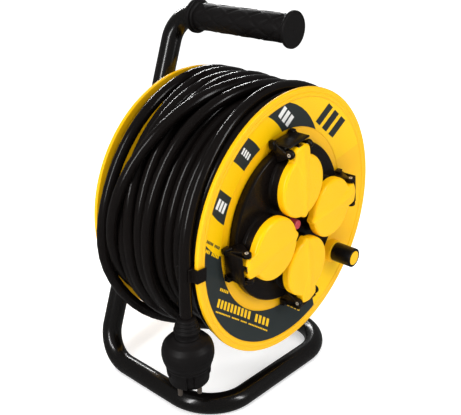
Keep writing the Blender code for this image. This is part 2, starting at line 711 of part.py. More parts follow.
# ---- knob and button -------------------------------------------------------------------------------------
def build_knob():
    end, root = KNOB_Y
    at = HUB + Vector((KNOB_X, 0, KNOB_Z))
    spindle = [
        (0, end + CAP_T + 0.0012),
        (0.0060, end + CAP_T + 0.0012),
        (0.0060, end + CAP_T + 0.0032),
        (0.0040, end + CAP_T + 0.0032),
        (0.0040, 0.0043),
        (0, 0.0043),
    ]
    add("crank_spindle", turned("crank_spindle", spindle, 16), STEEL, at)
    knob = [
        (CAP_R + GAP, end + 0.0004),
        (KNOB_R - 0.0010, end + 0.0004),
        (KNOB_R, end + 0.0014),
        (KNOB_R, root - 0.0010),
        (KNOB_R - 0.0010, root),
        (0.0044, root),
        (0.0044, end + CAP_T + 0.0036),
        (0.0066, end + CAP_T + 0.0036),
        (0.0066, end + CAP_T + GAP),
        (CAP_R + GAP, end + CAP_T + GAP),
    ]
    add("knob_sleeve", turned("knob_sleeve", knob, SMALL), BLACK_PLASTIC, at)
    cap = [(0, end), (CAP_R - 0.0010, end), (CAP_R, end + 0.0006), (CAP_R, end + CAP_T), (0, end + CAP_T)]
    add("knob_cap", turned("knob_cap", cap, SMALL), YELLOW, at)
    add("reset_button", rod("reset_button", BUTTON_R, BUTTON_Y, 0.0140, 20, bevel=0.0012), RED)


# ---- free end of the cable -------------------------------------------------------------------------------
def plug_frame():
    """The top of the strain relief, and the turn that leans the plug's axis inwards."""
    lean = Matrix.Rotation(math.radians(-PLUG_LEAN), 3, "Y")
    return HUB + Vector((TAIL_X + TAIL_SHIFT, TAIL_Y, TAIL_BOTTOM)) - lean @ Vector((0, 0, GAP)), lean


def build_plug():
    """Strain relief, plug body and its two pins, modelled downwards from the strain relief's top."""
    top, lean = plug_frame()
    relief = [(0, 0), (0.0088, 0)]
    for k in range(4):
        r, s = 0.0094 + 0.0006 * k, -0.0010 - 0.0040 * k
        relief += [(r, s), (r, s - 0.0024), (r - 0.0008, s - 0.0028), (r - 0.0008, s - 0.0038)]
    relief += [(0.0138, -0.0172), (0.0142, -0.0205), (0, -0.0205)]
    add("plug_strain_relief", turned("plug_strain_relief", relief, SMALL, (0, 0, 1)), RUBBER, top, lean)
    body = [
        (0, -0.0208), (0.0150, -0.0208), (0.0196, -0.0245), (0.0232, -0.0295), (0.0251, -0.0355),
        (0.0254, -0.0405), (0.0245, -0.0455), (0.0226, -0.0505), (0.0214, -0.0530), (0.0208, -0.0540),
        (0.0196, -0.0690), (0.0184, -0.0705), (0, -0.0705),
    ]
    add("plug_body", turned("plug_body", body, SMALL, (0, 0, 1)), RUBBER, top, lean)
    pin = rod("plug_pin", 0.0024, -0.0895, -0.0708, 12, (0, 0, 1), bevel=0.0008)
    turn = Matrix.Rotation(math.radians(PLUG_TWIST), 3, "Z")
    for side, x in (("a", -CONTACT_X), ("b", CONTACT_X)):
        add(f"plug_pin_{side}", pin, STEEL, top + lean @ turn @ Vector((x, 0, 0)), lean)


def build_tail():
    """The free end, laid on the winding from the upper left and then hanging straight down to the plug."""
    start, radius = 142.0, abs(TAIL_X)
    points = []
    steps = 8
    for k in range(steps):
        a = math.radians(start + (180 - start) * k / steps)
        points.append(Vector((radius * math.cos(a), TAIL_Y, radius * math.sin(a))))
    drop = 8
    for k in range(drop + 1):
        share = k / drop
        points.append(Vector((TAIL_X + TAIL_SHIFT * share * share, TAIL_Y, TAIL_BOTTOM * share)))
    wire_along("cable_tail", points, CORD_R, 3, CABLE).location = HUB


def build_clip():
    """A plastic clip on the cable, hooked over the front rim; the rim runs freely through its hook."""
    inner, outer, height = CORD_R + 0.0004, CORD_R + 0.0020, 0.0135
    rim = RIM_R + 0.0006
    hook = 0.0016
    inside = [math.radians(a) for a in range(265, 69, -15)]
    outside = [math.radians(a) for a in range(70, 221, 15)]
    outline = [(-0.1300, -0.0006), (-rim, -0.0006), (-rim, 0.0050), (-0.1335, 0.0050), (-0.1335, 0.0059)]
    outline += [(TAIL_X + inner * math.cos(a), TAIL_Y + inner * math.sin(a)) for a in inside]
    outline += [(TAIL_X + outer * math.cos(a), TAIL_Y + outer * math.sin(a)) for a in outside]
    outline += [(-rim - hook - 0.0020, -0.0008), (-rim - hook + 0.0004, -0.0006 - hook)]
    outline.append((-0.1300, -0.0006 - hook))
    add("cord_clip", prism("cord_clip", outline, -0.0168, -0.0168 + height), BLACK_PLASTIC)


def clear_scene():
    for obj in list(bpy.data.objects):
        bpy.data.objects.remove(obj)


def main():
    clear_scene()
    build_stand()
    build_drum()
    build_panel()
    build_lids()
    build_knob()
    build_tail()
    build_plug()
    build_clip()


main()
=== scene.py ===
"""Looks of the extension cord reel: smooth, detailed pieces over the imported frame, its cords and the studio.

Most of the design is measured from HUB, the point on the drum's axis in the plane of the front rim, with the
sockets facing -Y. Angles on the drum go from +X towards +Z. A profile is a list of (radius, depth) points.
"""

import json
import math
import random

import bmesh
import bpy
import numpy as np
from mathutils import Matrix, Vector


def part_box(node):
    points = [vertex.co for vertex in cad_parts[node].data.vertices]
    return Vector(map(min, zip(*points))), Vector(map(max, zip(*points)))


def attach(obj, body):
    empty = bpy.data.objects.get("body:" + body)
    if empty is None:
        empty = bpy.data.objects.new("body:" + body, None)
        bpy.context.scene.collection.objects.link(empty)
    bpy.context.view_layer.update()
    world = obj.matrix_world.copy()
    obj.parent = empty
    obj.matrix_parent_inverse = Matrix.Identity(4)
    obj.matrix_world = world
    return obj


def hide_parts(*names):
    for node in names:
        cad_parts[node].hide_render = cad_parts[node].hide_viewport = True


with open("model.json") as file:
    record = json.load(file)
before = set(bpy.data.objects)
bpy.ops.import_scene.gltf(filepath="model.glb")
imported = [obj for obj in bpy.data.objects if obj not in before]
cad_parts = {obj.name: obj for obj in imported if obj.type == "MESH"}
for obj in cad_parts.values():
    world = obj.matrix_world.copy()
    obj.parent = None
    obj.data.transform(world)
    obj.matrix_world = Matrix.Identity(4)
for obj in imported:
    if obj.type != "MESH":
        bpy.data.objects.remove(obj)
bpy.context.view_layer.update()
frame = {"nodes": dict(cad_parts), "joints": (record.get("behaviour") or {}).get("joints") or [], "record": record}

JOINTS = {joint["name"]: joint for joint in frame["joints"]}
SPIN = Vector(JOINTS["drum_spin"]["pos_m"])
HUB = Vector((SPIN.x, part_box("front_flange")[0].y, SPIN.z))

# ---- dimensions, in metres ---------------
TUBE_R = 0.011
RAIL_X = 0.1065  # floor rails, left and right of the hub
FRONT_RAIL_Y = 0.0085
LEG_Y = 0.176
GRIP_X = 0.0065
GRIP_Z = 0.1915
FLOOR_BEND = 0.050  # centre-line radii of the tube's bends
FOOT_BEND = 0.036
TOP_BEND = 0.029
RIGHT_LEG_TOP = 0.030
GRIP_Y = (0.018, 0.147)
GRIP_R = 0.0143
GRIP_FLANGE_R = 0.0180

RIM_R = 0.140
DRUM_W = 0.146
HUB_R = 0.0853
LABEL_OUT_R = 0.1300
LABEL_IN_R = 0.0984
DISH = 0.0100  # how far the flange is dished in at the panel
BARREL_FRONT = 0.0160
BARREL_T = 0.003
BUSH_SEAT_R = 0.0106
RIBS = 12

PANEL_Y = 0.0025
PANEL_HOLE_R = 0.0228
LID_ANGLES = [10.5 + 90 * i for i in range(4)]
LID_R = 0.0325
LID_CENTRE = 0.0475
LID_TOP = -0.0175
LID_BOTTOM = -0.0092
LID_SKIN = 0.0034
LID_WALL = 0.0019
LID_EDGE = 0.0028  # radius of the lid's rounded edge
COLLAR_R = 0.0300
COLLAR_Y = -0.0088
RECESS_R = 0.0197
RECESS_Y = 0.0087
CONTACT_X = 0.0095
PIN_AT = 0.0871  # hinge pin, from the drum's axis
PIN_Y = -0.0134
PIN_HALF = 0.0170
LUG_IN = 0.0123
LUG_OUT = 0.0166

KNOB_X = 0.0904
KNOB_Z = -0.0629
KNOB_R = 0.011
KNOB_Y = (-0.0241, 0.0012)
KNOB_CAP_R = 0.0082
KNOB_CAP_T = 0.0038
BUTTON_R = 0.0052

CORD_D = 0.012
GLAND_ANGLE = 62.0
TAIL_X = -0.1433
TAIL_Y = 0.0125
TAIL_BOTTOM = -0.0557
PLUG_LEAN = 4.1
PLUG_TWIST = -40.0
PLUG_PIN_R = 0.0024
TAIL_SHIFT = math.tan(math.radians(PLUG_LEAN)) * abs(TAIL_BOTTOM) / 2


# ---- materials ---------------------------
def linear(colour):
    """An 8-bit display colour as the linear values that a shader takes."""
    values = [c / 255 for c in colour]
    return tuple(v / 12.92 if v <= 0.04045 else ((v + 0.055) / 1.055) ** 2.4 for v in values)


def finish(name, colour, roughness, *, spread, bump, metallic=0.0, grain=900.0, mottle=35.0,
           rough_spread=0.08, specular=0.5):
    """A Principled material whose colour and roughness drift a little and whose surface has a fine grain."""
    mat = bpy.data.materials.new(name)
    mat.use_nodes = True
    tree = mat.node_tree
    shader = tree.nodes["Principled BSDF"]
    shader.inputs["Metallic"].default_value = metallic
    shader.inputs["Specular IOR Level"].default_value = specular
    where = tree.nodes.new("ShaderNodeTexCoord")

    def noise(scale, detail):
        node = tree.nodes.new("ShaderNodeTexNoise")
        node.inputs["Scale"].default_value = scale
        node.inputs["Detail"].default_value = detail
        tree.links.new(where.outputs["Object"], node.inputs["Vector"])
        return node

    patches, fine = noise(mottle, 3.0), noise(grain, 2.0)
    base = linear(colour)
    tone = tree.nodes.new("ShaderNodeMix")
    tone.data_type = "RGBA"
    tone.inputs["A"].default_value = (*[c * (1 - spread) for c in base], 1.0)
    tone.inputs["B"].default_value = (*[min(1.0, c * (1 + spread)) for c in base], 1.0)
    tree.links.new(patches.outputs["Fac"], tone.inputs["Factor"])
    tree.links.new(tone.outputs["Result"], shader.inputs["Base Color"])
    rough = tree.nodes.new("ShaderNodeMapRange")
    rough.inputs["From Min"].default_value = 0.3
    rough.inputs["From Max"].default_value = 0.7
    rough.inputs["To Min"].default_value = max(0.03, roughness - rough_spread / 2)
    rough.inputs["To Max"].default_value = roughness + rough_spread / 2
    tree.links.new(fine.outputs["Fac"], rough.inputs["Value"])
    tree.links.new(rough.outputs["Result"], shader.inputs["Roughness"])
    dents = tree.nodes.new("ShaderNodeBump")
    dents.inputs["Strength"].default_value = bump
    dents.inputs["Distance"].default_value = 0.0005
    tree.links.new(fine.outputs["Fac"], dents.inputs["Height"])
    tree.links.new(dents.outputs["Normal"], shader.inputs["Normal"])
    return mat


YELLOW = finish("drum_yellow", (247, 186, 8), 0.36, spread=0.02, grain=1400, bump=0.03, specular=0.22)
LID_YELLOW = finish("lid_yellow", (248, 188, 8), 0.30, spread=0.03, grain=1600, bump=0.02, specular=0.24)
LABEL = finish("label_yellow", (248, 196, 8), 0.30, spread=0.01, grain=2500, bump=0.01, mottle=20,
               specular=0.2)
PATCH = finish("label_patch", (44, 50, 50), 0.36, spread=0.05, grain=2500, bump=0.01, specular=0.15)
PRINT_WHITE = finish("label_white", (236, 236, 232), 0.36, spread=0.01, grain=2500, bump=0.01)
BLACK = finish("hub_black", (18, 14, 12), 0.30, spread=0.15, grain=1500, bump=0.05, specular=0.18)
KNOB_BLACK = finish("knob_black", (14, 14, 15), 0.30, spread=0.1, grain=1200, bump=0.05, specular=0.25)
TUBE = finish("tube_enamel", (10, 8, 7), 0.20, spread=0.1, grain=420, bump=0.008, rough_spread=0.05)
RUBBER = finish("moulded_rubber", (17, 15, 15), 0.46, spread=0.12, grain=1100, bump=0.12, specular=0.16)
CABLE = finish("cable_sheath", (15, 12, 11), 0.20, spread=0.14, grain=1300, bump=0.012, mottle=60,
               rough_spread=0.03, specular=0.20)
GREY = finish("socket_grey", (32, 31, 30), 0.5, spread=0.08, grain=1200, bump=0.05, specular=0.3)
BUTTON = finish("button_red", (196, 66, 80), 0.35, spread=0.05, grain=900, bump=0.03)
STEEL = finish("pin_steel", (230, 222, 208), 0.35, metallic=0.6, spread=0.06, grain=1500, bump=0.03)
ZINC = finish("zinc_plate", (176, 174, 166), 0.38, metallic=1.0, spread=0.10, grain=700, bump=0.05)
BRASS = finish("contact_brass", (208, 170, 104), 0.32, metallic=1.0, spread=0.06, grain=900, bump=0.03)
TIN = finish("plug_pin", (140, 128, 118), 0.34, metallic=0.9, spread=0.05, grain=1400, bump=0.02)


# ---- shape tools -------------------------
SHARP = 40  # degrees between two faces, over which the edge stays sharp
BEND_STEP = 3  # degrees


def rounded(points, radius, steps=4, closed=True):
    """A 2-D outline with its corners rounded, each by no more than its sides allow.

    radius may be a list with one for each point.
    """
    radii = radius if isinstance(radius, (list, tuple)) else [radius] * len(points)
    count, out = len(points), []
    for i, (point, r) in enumerate(zip(points, radii)):
        if r <= 0 or (not closed and i in (0, count - 1)):
            out.append(tuple(point))
            continue
        here = Vector(point)
        to_a, to_b = Vector(points[i - 1]) - here, Vector(points[(i + 1) % count]) - here
        angle = to_a.angle(to_b, math.pi)
        if not 0.02 <= angle <= math.pi - 0.02:
            out.append(tuple(point))
            continue
        reach = min(r / math.tan(angle / 2), 0.48 * to_a.length, 0.48 * to_b.length)
        a, b = here + to_a.normalized() * reach, here + to_b.normalized() * reach
        for k in range(steps + 1):
            t = k / steps
            out.append(tuple(a * (1 - t) ** 2 + here * 2 * t * (1 - t) + b * t * t))
    return out


def placed(name, data):
    """A new object in the scene."""
    obj = bpy.data.objects.new(name, data)
    bpy.context.scene.collection.objects.link(obj)
    return obj


def shade(mesh, angle=SHARP):
    """Smooth shading, but for the edges that turn by more than the angle."""
    mesh.shade_smooth()
    mesh.set_sharp_from_angle(angle=math.radians(angle))


def finished(bm, name, mat, angle=SHARP):
    """A piece from a bmesh, shaded."""
    bmesh.ops.remove_doubles(bm, verts=bm.verts, dist=2e-6)
    bmesh.ops.recalc_face_normals(bm, faces=bm.faces)
    mesh = bpy.data.meshes.new(name)
    bm.to_mesh(mesh)
    bm.free()
    mesh.materials.append(mat)
    shade(mesh, angle)
    return placed(name, mesh)


def turned(name, profile, mat, sides, matrix, shift=None, angle=SHARP):
    """A closed profile turned about local +Y.

    shift(angle, radius, y) may give each point a change of depth and of radius.
    """
    bm = bmesh.new()
    rings = []
    for r, y in profile:
        if r < 1e-7:
            rings.append([bm.verts.new((0, y, 0))] * sides)
            continue
        ring = []
        for k in range(sides):
            a = math.tau * k / sides
            dy, dr = shift(a, r, y) if shift else (0.0, 0.0)
            ring.append(bm.verts.new(((r + dr) * math.cos(a), y + dy, (r + dr) * math.sin(a))))
        rings.append(ring)
    for a, b in zip(rings, rings[1:] + rings[:1]):
        for k in range(sides):
            n = (k + 1) % sides
            corners = []
            for v in (a[k], a[n], b[n], b[k]):
                if v not in corners:
                    corners.append(v)
            if len(corners) > 2:
                bm.faces.new(corners)
    obj = finished(bm, name, mat, angle)
    obj.data.transform(matrix)
    return obj


def prism(name, outline, low, high, mat, matrix, bevel, segments=2):
    """An (x, y) outline between two heights in z, with its edges bevelled."""
    bm = bmesh.new()
    rings = [[bm.verts.new((x, y, z)) for x, y in outline] for z in (low, high)]
    bm.faces.new(rings[0])
    bm.faces.new(rings[1])
    count = len(outline)
    for i in range(count):
        j = (i + 1) % count
        bm.faces.new((rings[0][i], rings[0][j], rings[1][j], rings[1][i]))
    obj = finished(bm, name, mat)
    obj.data.transform(matrix)
    if bevel:
        soft = obj.modifiers.new("bevel", "BEVEL")
        soft.width = bevel
        soft.segments = segments
        soft.limit_method = "ANGLE"
        soft.angle_limit = math.radians(35)
        soft.harden_normals = True
    return obj


def box(name, low, high, mat, matrix, bevel):
    """A block between two corners."""
    outline = [(low[0], low[1]), (high[0], low[1]), (high[0], high[1]), (low[0], high[1])]
    return prism(name, outline, low[2], high[2], mat, matrix, bevel)


def cut(obj, *tools):
    """Cuts the tools' meshes out of a piece and applies the result."""
    for tool in tools:
        step = obj.modifiers.new("cut", "BOOLEAN")
        step.operation = "DIFFERENCE"
        step.solver = "EXACT"
        step.object = tool
    apply_modifiers(obj)
    for tool in tools:
        bpy.data.objects.remove(tool)
    return obj


def apply_modifiers(obj):
    """Makes the result of a piece's modifiers its mesh."""
    bpy.context.view_layer.update()
    mesh = bpy.data.meshes.new_from_object(obj.evaluated_get(bpy.context.evaluated_depsgraph_get()))
    obj.modifiers.clear()
    obj.data = mesh
    shade(mesh)


def joined(name, parts):
    """Several meshes as one piece."""
    bm = bmesh.new()
    for part in parts:
        if part.modifiers:
            apply_modifiers(part)
        bm.from_mesh(part.data)
    mesh = bpy.data.meshes.new(name)
    bm.to_mesh(mesh)
    bm.free()
    mesh.materials.append(parts[0].data.materials[0])
    for part in parts:
        bpy.data.objects.remove(part)
    shade(mesh)
    return placed(name, mesh)


def swept(name, path, radius, mat, sides):
    """A round bar along a polyline, with rings that don't twist."""
    bm = bmesh.new()
    turns = [math.tau * k / sides for k in range(sides)]
    tangents = []
    for i, point in enumerate(path):
        ahead = path[min(i + 1, len(path) - 1)] - point
        behind = point - path[max(i - 1, 0)]
        tangents.append((ahead.normalized() + behind.normalized()).normalized())
    normal = tangents[0].orthogonal().normalized()
    before = tangents[0]
    rings = []
    for point, tangent in zip(path, tangents):
        normal = before.rotation_difference(tangent) @ normal
        side = tangent.cross(normal)
        before = tangent
        rings.append([
            bm.verts.new(point + (normal * math.cos(a) + side * math.sin(a)) * radius) for a in turns
        ])
    for a, b in zip(rings, rings[1:]):
        for k in range(sides):
            n = (k + 1) % sides
            bm.faces.new((a[k], a[n], b[n], b[k]))
    for ring in (rings[0], rings[-1]):
        bm.faces.new(ring)
    return finished(bm, name, mat)


def rounded_path(corners, radii):
    """A polyline through corners, each inner corner rounded with its own centre-line radius."""
    points = [Vector(corners[0])]
    for before, at, after, radius in zip(corners, corners[1:], corners[2:], radii):
        before, at, after = Vector(before), Vector(at), Vector(after)
        u, w = (before - at).normalized(), (after - at).normalized()
        half = u.angle(w) / 2
        centre = at + (u + w).normalized() * radius / math.sin(half)
        start = at + u * radius / math.tan(half) - centre
        end = at + w * radius / math.tan(half) - centre
        axis, sweep = start.cross(end).normalized(), start.angle(end)
        steps = max(2, round(math.degrees(sweep) / BEND_STEP))
        points += [centre + Matrix.Rotation(sweep * i / steps, 3, axis) @ start for i in range(steps + 1)]
    points.append(Vector(corners[-1]))
    return points


def at_hub(offset=(0, 0, 0), turn=0.0):
    """Moves a piece by an offset from the hub, then turns it by an angle about the drum's axis."""
    about_axis = Matrix.Rotation(math.radians(-turn), 4, "Y")
    return Matrix.Translation(HUB) @ about_axis @ Matrix.Translation(Vector(offset))


def stands_for(piece, body, slot, *nodes):
    """Rides a piece on a body and hides the CAD nodes that it replaces. The slot is not used."""
    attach(piece, body)
    if nodes:
        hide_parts(*nodes)
    return piece


# ---- camera ------------------------------
CAMERA_FROM_HUB = Vector((-0.5509, -0.3917, 0.2871))
CAMERA_RIGHT = Vector((0.66324, -0.74779, 0.03049))
CAMERA_UP = Vector((0.26186, 0.27003, 0.92656))
CAMERA_LENS = 55.72


def place_camera():
    """The main view: from the left, in front and above."""
    back = -CAMERA_UP.cross(CAMERA_RIGHT).normalized()
    turn = Matrix((CAMERA_RIGHT, CAMERA_UP, back)).transposed().to_4x4()
    data = bpy.data.cameras.new("camera")
    data.sensor_width = 36.0
    data.lens = CAMERA_LENS
    camera = placed("camera", data)
    camera.matrix_world = Matrix.Translation(HUB + CAMERA_FROM_HUB) @ turn
    bpy.context.scene.camera = camera


# ---- cords -------------------------------
# Depths are from the front rim. Angles are in degrees, over the top from right to left.
STEPS_PER_TURN = 60
INNER_LAYERS = [
    # (turns from the gland, depth) along the four full layers
    (0.0, 0.1200), (0.3, 0.1215), (8.5, 0.0215), (9.0, 0.0190), (17.9, 0.1262), (18.3, 0.1262),
    (26.4, 0.0268), (27.0, 0.0262), (34.4, 0.1130),
]
OUTER_TURNS = [
    # (angle, depth) along each turn, in the order they were wound
    [(70, 0.1128), (100, 0.1122), (125, 0.1085), (160, 0.1080), (200, 0.1085), (230, 0.1085)],
    [(70, 0.0985), (100, 0.0978), (140, 0.0975), (180, 0.0965), (230, 0.0968)],
    [(70, 0.0858), (100, 0.0852), (140, 0.0848), (180, 0.0845), (230, 0.0848)],
    [(70, 0.0640), (100, 0.0670), (120, 0.0735), (135, 0.0810), (150, 0.0925), (163, 0.1035), (177, 0.1140),
     (190, 0.1210), (210, 0.1270), (230, 0.1290)],
    [(70, 0.1262), (100, 0.1257), (140, 0.1245), (160, 0.1276), (177, 0.1294), (195, 0.1310), (215, 0.1290),
     (235, 0.1230), (260, 0.1130)],
    [(70, 0.0480), (100, 0.0510), (118, 0.0590), (133, 0.0640), (150, 0.0670), (163, 0.0695), (177, 0.0725),
     (190, 0.0735), (230, 0.0720), (262, 0.0560), (300, 0.0400), (318, 0.0290)],
]
HELD_OUT = {
    # turn number in OUTER_TURNS: (angle, radius) where the cable stands off what is under it
    4: [(60, 0.1366), (100, 0.1374), (140, 0.1374), (180, 0.1385), (200, 0.1420), (229, 0.1472),
        (252, 0.1460), (285, 0.1420), (320, 0.1300)],
}
CORE_R = HUB_R + CORD_D / 2 + 0.0002
CLIMB = 0.0022  # how fast the cable may climb from one step to the next
CLIMB_STEPS = 9
# (turn, distance between touching centre lines): the lower layers are pressed a little into each other
PRESSED = [(0.0, 0.0106), (26.0, 0.0106), (28.0, 0.0114), (34.0, 0.0114), (36.0, 0.0118), (60.0, 0.0118)]


def smoothed(values, sigma):
    """Values blurred by a bell of that width, in steps."""
    reach = int(4 * sigma)
    kernel = np.exp(-0.5 * (np.arange(-reach, reach + 1) / sigma) ** 2)
    kernel /= kernel.sum()
    return np.convolve(np.pad(values, reach, mode="edge"), kernel, mode="valid")


def wind_cable():
    """Centre line of the wound cable: each point lies on the turns under it and climbs where they cross."""
    knots = list(INNER_LAYERS)
    first_outer = math.ceil(knots[-1][0])
    for number, turn in enumerate(OUTER_TURNS):
        knots += [(first_outer + number + (angle - GLAND_ANGLE) / 360, depth) for angle, depth in turn]
    last = knots[-1][0]
    count = int(last * STEPS_PER_TURN) + 1
    at = np.arange(count) / STEPS_PER_TURN
    depth = smoothed(np.interp(at, *zip(*knots)), 2.2)
    rng = random.Random(7)
    waves = [
        (rng.uniform(0.8, 3.1), rng.uniform(0, math.tau), rng.uniform(0.0001, 0.0004)) for _ in range(5)
    ]
    depth = depth + sum(size * np.sin(math.tau * at / period + phase) for period, phase, size in waves)
    least = np.full(count, CORE_R)
    for number, held in HELD_OUT.items():
        turns = [first_outer + number + (angle - GLAND_ANGLE) / 360 for angle, _ in held]
        inside = (at >= turns[0]) & (at <= turns[-1])
        least[inside] = np.interp(at[inside], turns, [r for _, r in held])
    reach = np.interp(at, *zip(*PRESSED))
    radius = np.zeros(count)
    for i in range(count):
        wanted = 0.0
        for ahead in range(CLIMB_STEPS):
            j = i + ahead
            if j >= count:
                break
            under = np.arange(j - STEPS_PER_TURN, -1, -STEPS_PER_TURN)
            lie = least[j]
            if len(under):
                gap = np.abs(depth[j] - depth[under])
                near = gap < reach[j]
                if near.any():
                    lie = max(lie, (radius[under][near] + np.sqrt(reach[j] ** 2 - gap[near] ** 2)).max())
            wanted = max(wanted, lie - ahead * CLIMB)
        radius[i] = max(wanted, radius[i - 1] - CLIMB if i else 0.0)
    radius = smoothed(radius, 1.6)
    angle = np.radians(GLAND_ANGLE + 360 * at)
    return [
        HUB + Vector((r * math.cos(a), y, r * math.sin(a))) for r, a, y in zip(radius, angle, depth)
    ]


# The free end: a turn and a half that stays with the stand beside the front flange, then the hanging stretch.
TAIL_KNOTS = [
    # (angle, depth, radius)
    (-350, 0.0135, 0.1185), (-320, 0.0132, 0.1215), (-300, 0.0126, 0.1262), (-275, 0.0124, 0.1305),
    (-230, 0.0124, 0.1310), (-180, 0.0124, 0.1314), (-90, 0.0124, 0.1316), (0, 0.0126, 0.1322),
    (40, 0.0152, 0.1344), (60, 0.0205, 0.1362), (80, 0.0250, 0.1366), (100, 0.0257, 0.1368),
    (115, 0.0224, 0.1374), (135, 0.0185, 0.1396), (155, 0.0155, 0.1424), (180, TAIL_Y, abs(TAIL_X)),
]
TAIL_STEP = 5.0  # degrees
DROP_STEPS = 8


def tail_path():
    """Centre line of the free end."""
    angles, depths, radii = zip(*TAIL_KNOTS)
    at = np.arange(angles[0], angles[-1], TAIL_STEP)
    depth = smoothed(np.interp(at, angles, depths), 2.0)
    radius = smoothed(np.interp(at, angles, radii), 2.0)
    points = [
        HUB + Vector((r * math.cos(math.radians(a)), y, r * math.sin(math.radians(a))))
        for a, y, r in zip(at, depth, radius)
    ]
    for k in range(DROP_STEPS + 1):
        share = k / DROP_STEPS
        points.append(HUB + Vector((TAIL_X + TAIL_SHIFT * share * share, TAIL_Y, TAIL_BOTTOM * share)))
    return points


def cord_curve(name, points):
    """A round cord along a polyline."""
    curve = bpy.data.curves.new(name, "CURVE")
    curve.dimensions = "3D"
    spline = curve.splines.new("POLY")
    spline.points.add(len(points) - 1)
    for place, point in zip(spline.points, points):
        place.co = (*point, 1.0)
    curve.bevel_depth = CORD_D / 2
    curve.bevel_resolution = 6
    curve.use_fill_caps = True
    curve.materials.append(CABLE)
    return placed(name, curve)


def build_winding():
    wound = wind_cable()
    winding = stands_for(cord_curve("winding", wound), "drum", "cable", "cable_winding")


def build_tail():
    """The free end and the point where it starts."""
    free = tail_path()
    return stands_for(cord_curve("tail", free), "frame", "cable", "cable_tail"), free[0]


# ---- stand -------------------------------
FOOT_Z = TUBE_R - HUB.z  # the floor rails' centre line, from the hub


def leg_x(z):
    """Where the left leg's centre line is at a height from the hub; the right leg is its mirror image."""
    return -RAIL_X + (GRIP_X + RAIL_X) * (z - FOOT_Z) / (GRIP_Z - FOOT_Z)


def build_stand():
    """The tube from the grip round to the short right leg, the plug in that leg's end, grip and bracket."""
    corners = [
        (GRIP_X, GRIP_Y[0] + 0.004, GRIP_Z),
        (GRIP_X, LEG_Y, GRIP_Z),
        (-RAIL_X, LEG_Y, FOOT_Z),
        (-RAIL_X, FRONT_RAIL_Y, FOOT_Z),
        (RAIL_X, FRONT_RAIL_Y, FOOT_Z),
        (RAIL_X, LEG_Y, FOOT_Z),
        (-leg_x(RIGHT_LEG_TOP), LEG_Y, RIGHT_LEG_TOP),
    ]
    bends = [TOP_BEND, FOOT_BEND, FLOOR_BEND, FLOOR_BEND, FOOT_BEND]
    path = [HUB + p for p in rounded_path(corners, bends)]
    tube = swept("stand_tube", path, TUBE_R, TUBE, 48)
    stands_for(tube, "frame", "tube", "frame_tube")

    end = HUB + Vector((-leg_x(RIGHT_LEG_TOP), LEG_Y, RIGHT_LEG_TOP))
    along = (end - (HUB + Vector((RAIL_X, LEG_Y, FOOT_Z)))).normalized()
    turn = Matrix.Translation(end) @ Vector((0, 1, 0)).rotation_difference(along).to_matrix().to_4x4()
    plug = rounded(
        [(0, -0.004), (0.0092, -0.004), (0.0092, 0.0003), (TUBE_R, 0.0003), (0.0102, 0.0032), (0, 0.0044)],
        [0, 0.0003, 0, 0.0006, 0.0012, 0],
    )
    stands_for(turned("leg_end_plug", plug, RUBBER, 48, turn), "frame", "rubber", "tube_end_plug")
    build_grip()
    build_bracket()


def build_grip():
    """A rubber grip with raised diamonds, a double lip at the back and a closed disc at the front."""
    front, rear = GRIP_Y
    body_from, body_to = front + 0.0064, rear - 0.0088
    rows, around, along = 150, 5, 4  # rings of the body; diamonds round it and along it
    skin = GRIP_R - 0.0005
    # The disc has a small pip in the middle.
    profile = [(0, front - 0.0003), (0.0009, front - 0.0002), (0.0014, front + 0.0003),
               (GRIP_FLANGE_R - 0.0022, front + 0.0003)]
    lip = [(GRIP_FLANGE_R - 0.0020, front), (GRIP_FLANGE_R, front), (GRIP_FLANGE_R, front + 0.0032),
           (GRIP_R, front + 0.0050), (skin, body_from)]
    profile += rounded([profile[-1], *lip], 0.0012, closed=False)[1:]
    profile += [(skin, body_from + (body_to - body_from) * k / rows) for k in range(1, rows + 1)]
    back = [
        (skin, body_to), (0.0160, body_to + 0.0008), (0.0164, body_to + 0.0030),
        (0.0152, body_to + 0.0038), (GRIP_FLANGE_R, body_to + 0.0044), (GRIP_FLANGE_R, rear - 0.0006),
        (GRIP_FLANGE_R - 0.0010, rear), (0.0120, rear),
    ]
    profile += rounded(back, 0.0009, closed=False)[1:]
    socket_r, socket_depth = 0.0112, 0.006
    profile += [(socket_r, rear), (socket_r, rear - socket_depth), (0, rear - socket_depth)]

    diamond_height, finger_depth = 0.00045, 0.0005

    def diamonds(a, r, y):
        """Raised diamonds, and shallow waves for the fingers on the underside."""
        if not body_from < y < body_to or r > GRIP_R:
            return 0.0, 0.0
        share = (y - body_from) / (body_to - body_from)
        fade = min(1.0, share / 0.05, (1 - share) / 0.05)
        u, v = a / math.tau * around, share * along
        cell = min(
            abs(2 * ((u + k / 2) % 1) - 1) + abs(2 * ((v + k / 2) % 1) - 1) for k in (0, 1)
        )
        raised = max(0.0, min(1.0, (0.86 - cell) / 0.16))
        finger = 0.5 - 0.5 * math.cos(math.tau * share * along)
        return 0.0, fade * (diamond_height * raised - finger_depth * finger * max(0.0, -math.sin(a)))

    place = Matrix.Translation(HUB + Vector((GRIP_X, 0, GRIP_Z)))
    grip = turned("grip_rubber", profile, RUBBER, 180, place, diamonds, 30)
    stands_for(grip, "frame", "rubber", "hand_grip")


